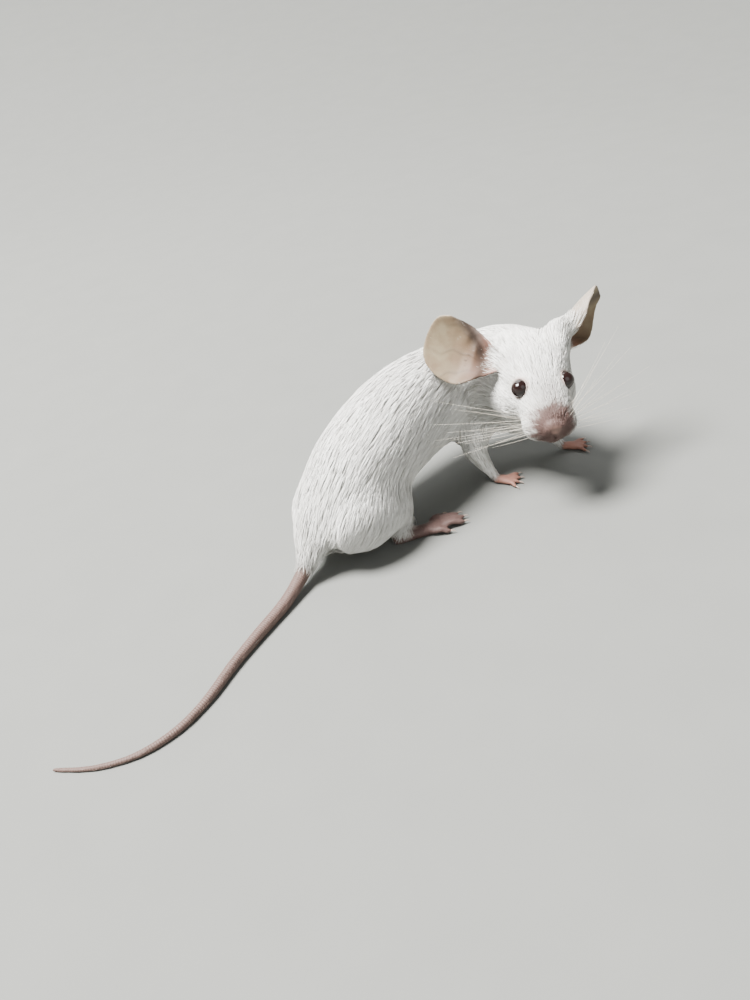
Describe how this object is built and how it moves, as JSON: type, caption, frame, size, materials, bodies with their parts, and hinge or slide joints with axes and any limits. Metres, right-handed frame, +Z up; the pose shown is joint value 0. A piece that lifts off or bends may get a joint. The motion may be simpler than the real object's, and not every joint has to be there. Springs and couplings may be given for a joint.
{
  "type": "white pet mouse figure",
  "caption": "Life-size still figure of a white pet mouse crouched on the floor, head turned over its right shoulder, ears open, tail laid out behind.",
  "frame": {"origin": "on the floor, below the centre of the bounding box", "axes": "+X along the animal's back from rump towards shoulders, +Y to the animal's left, +Z up from the floor"},
  "size_m": [0.1606, 0.0602, 0.0478],
  "materials": {
    "fur": "short soft white coat",
    "ear": "thin tan skin with fine down",
    "nose_skin": "moist pink brown skin",
    "foot_skin": "soft pink skin",
    "tail_skin": "ringed mauve skin",
    "eye": "very dark, wet shine"
  },
  "bodies": {
    "root": {"ear_left": "ear", "ear_right": "ear", "eye_left": "eye", "eye_right": "eye", "fore_leg_left": "fur", "fore_leg_right": "fur", "fore_paw_left": "foot_skin", "fore_paw_right": "foot_skin", "head": "fur", "hind_foot_left": "foot_skin", "hind_foot_right": "foot_skin", "hind_leg_left": "fur", "hind_leg_right": "fur", "neck": "fur", "nose": "nose_skin", "tail_1": "tail_skin", "tail_2": "tail_skin", "tail_3": "tail_skin", "tail_4": "tail_skin", "tail_5": "tail_skin", "trunk": "fur"}
  },
  "joints": []
}
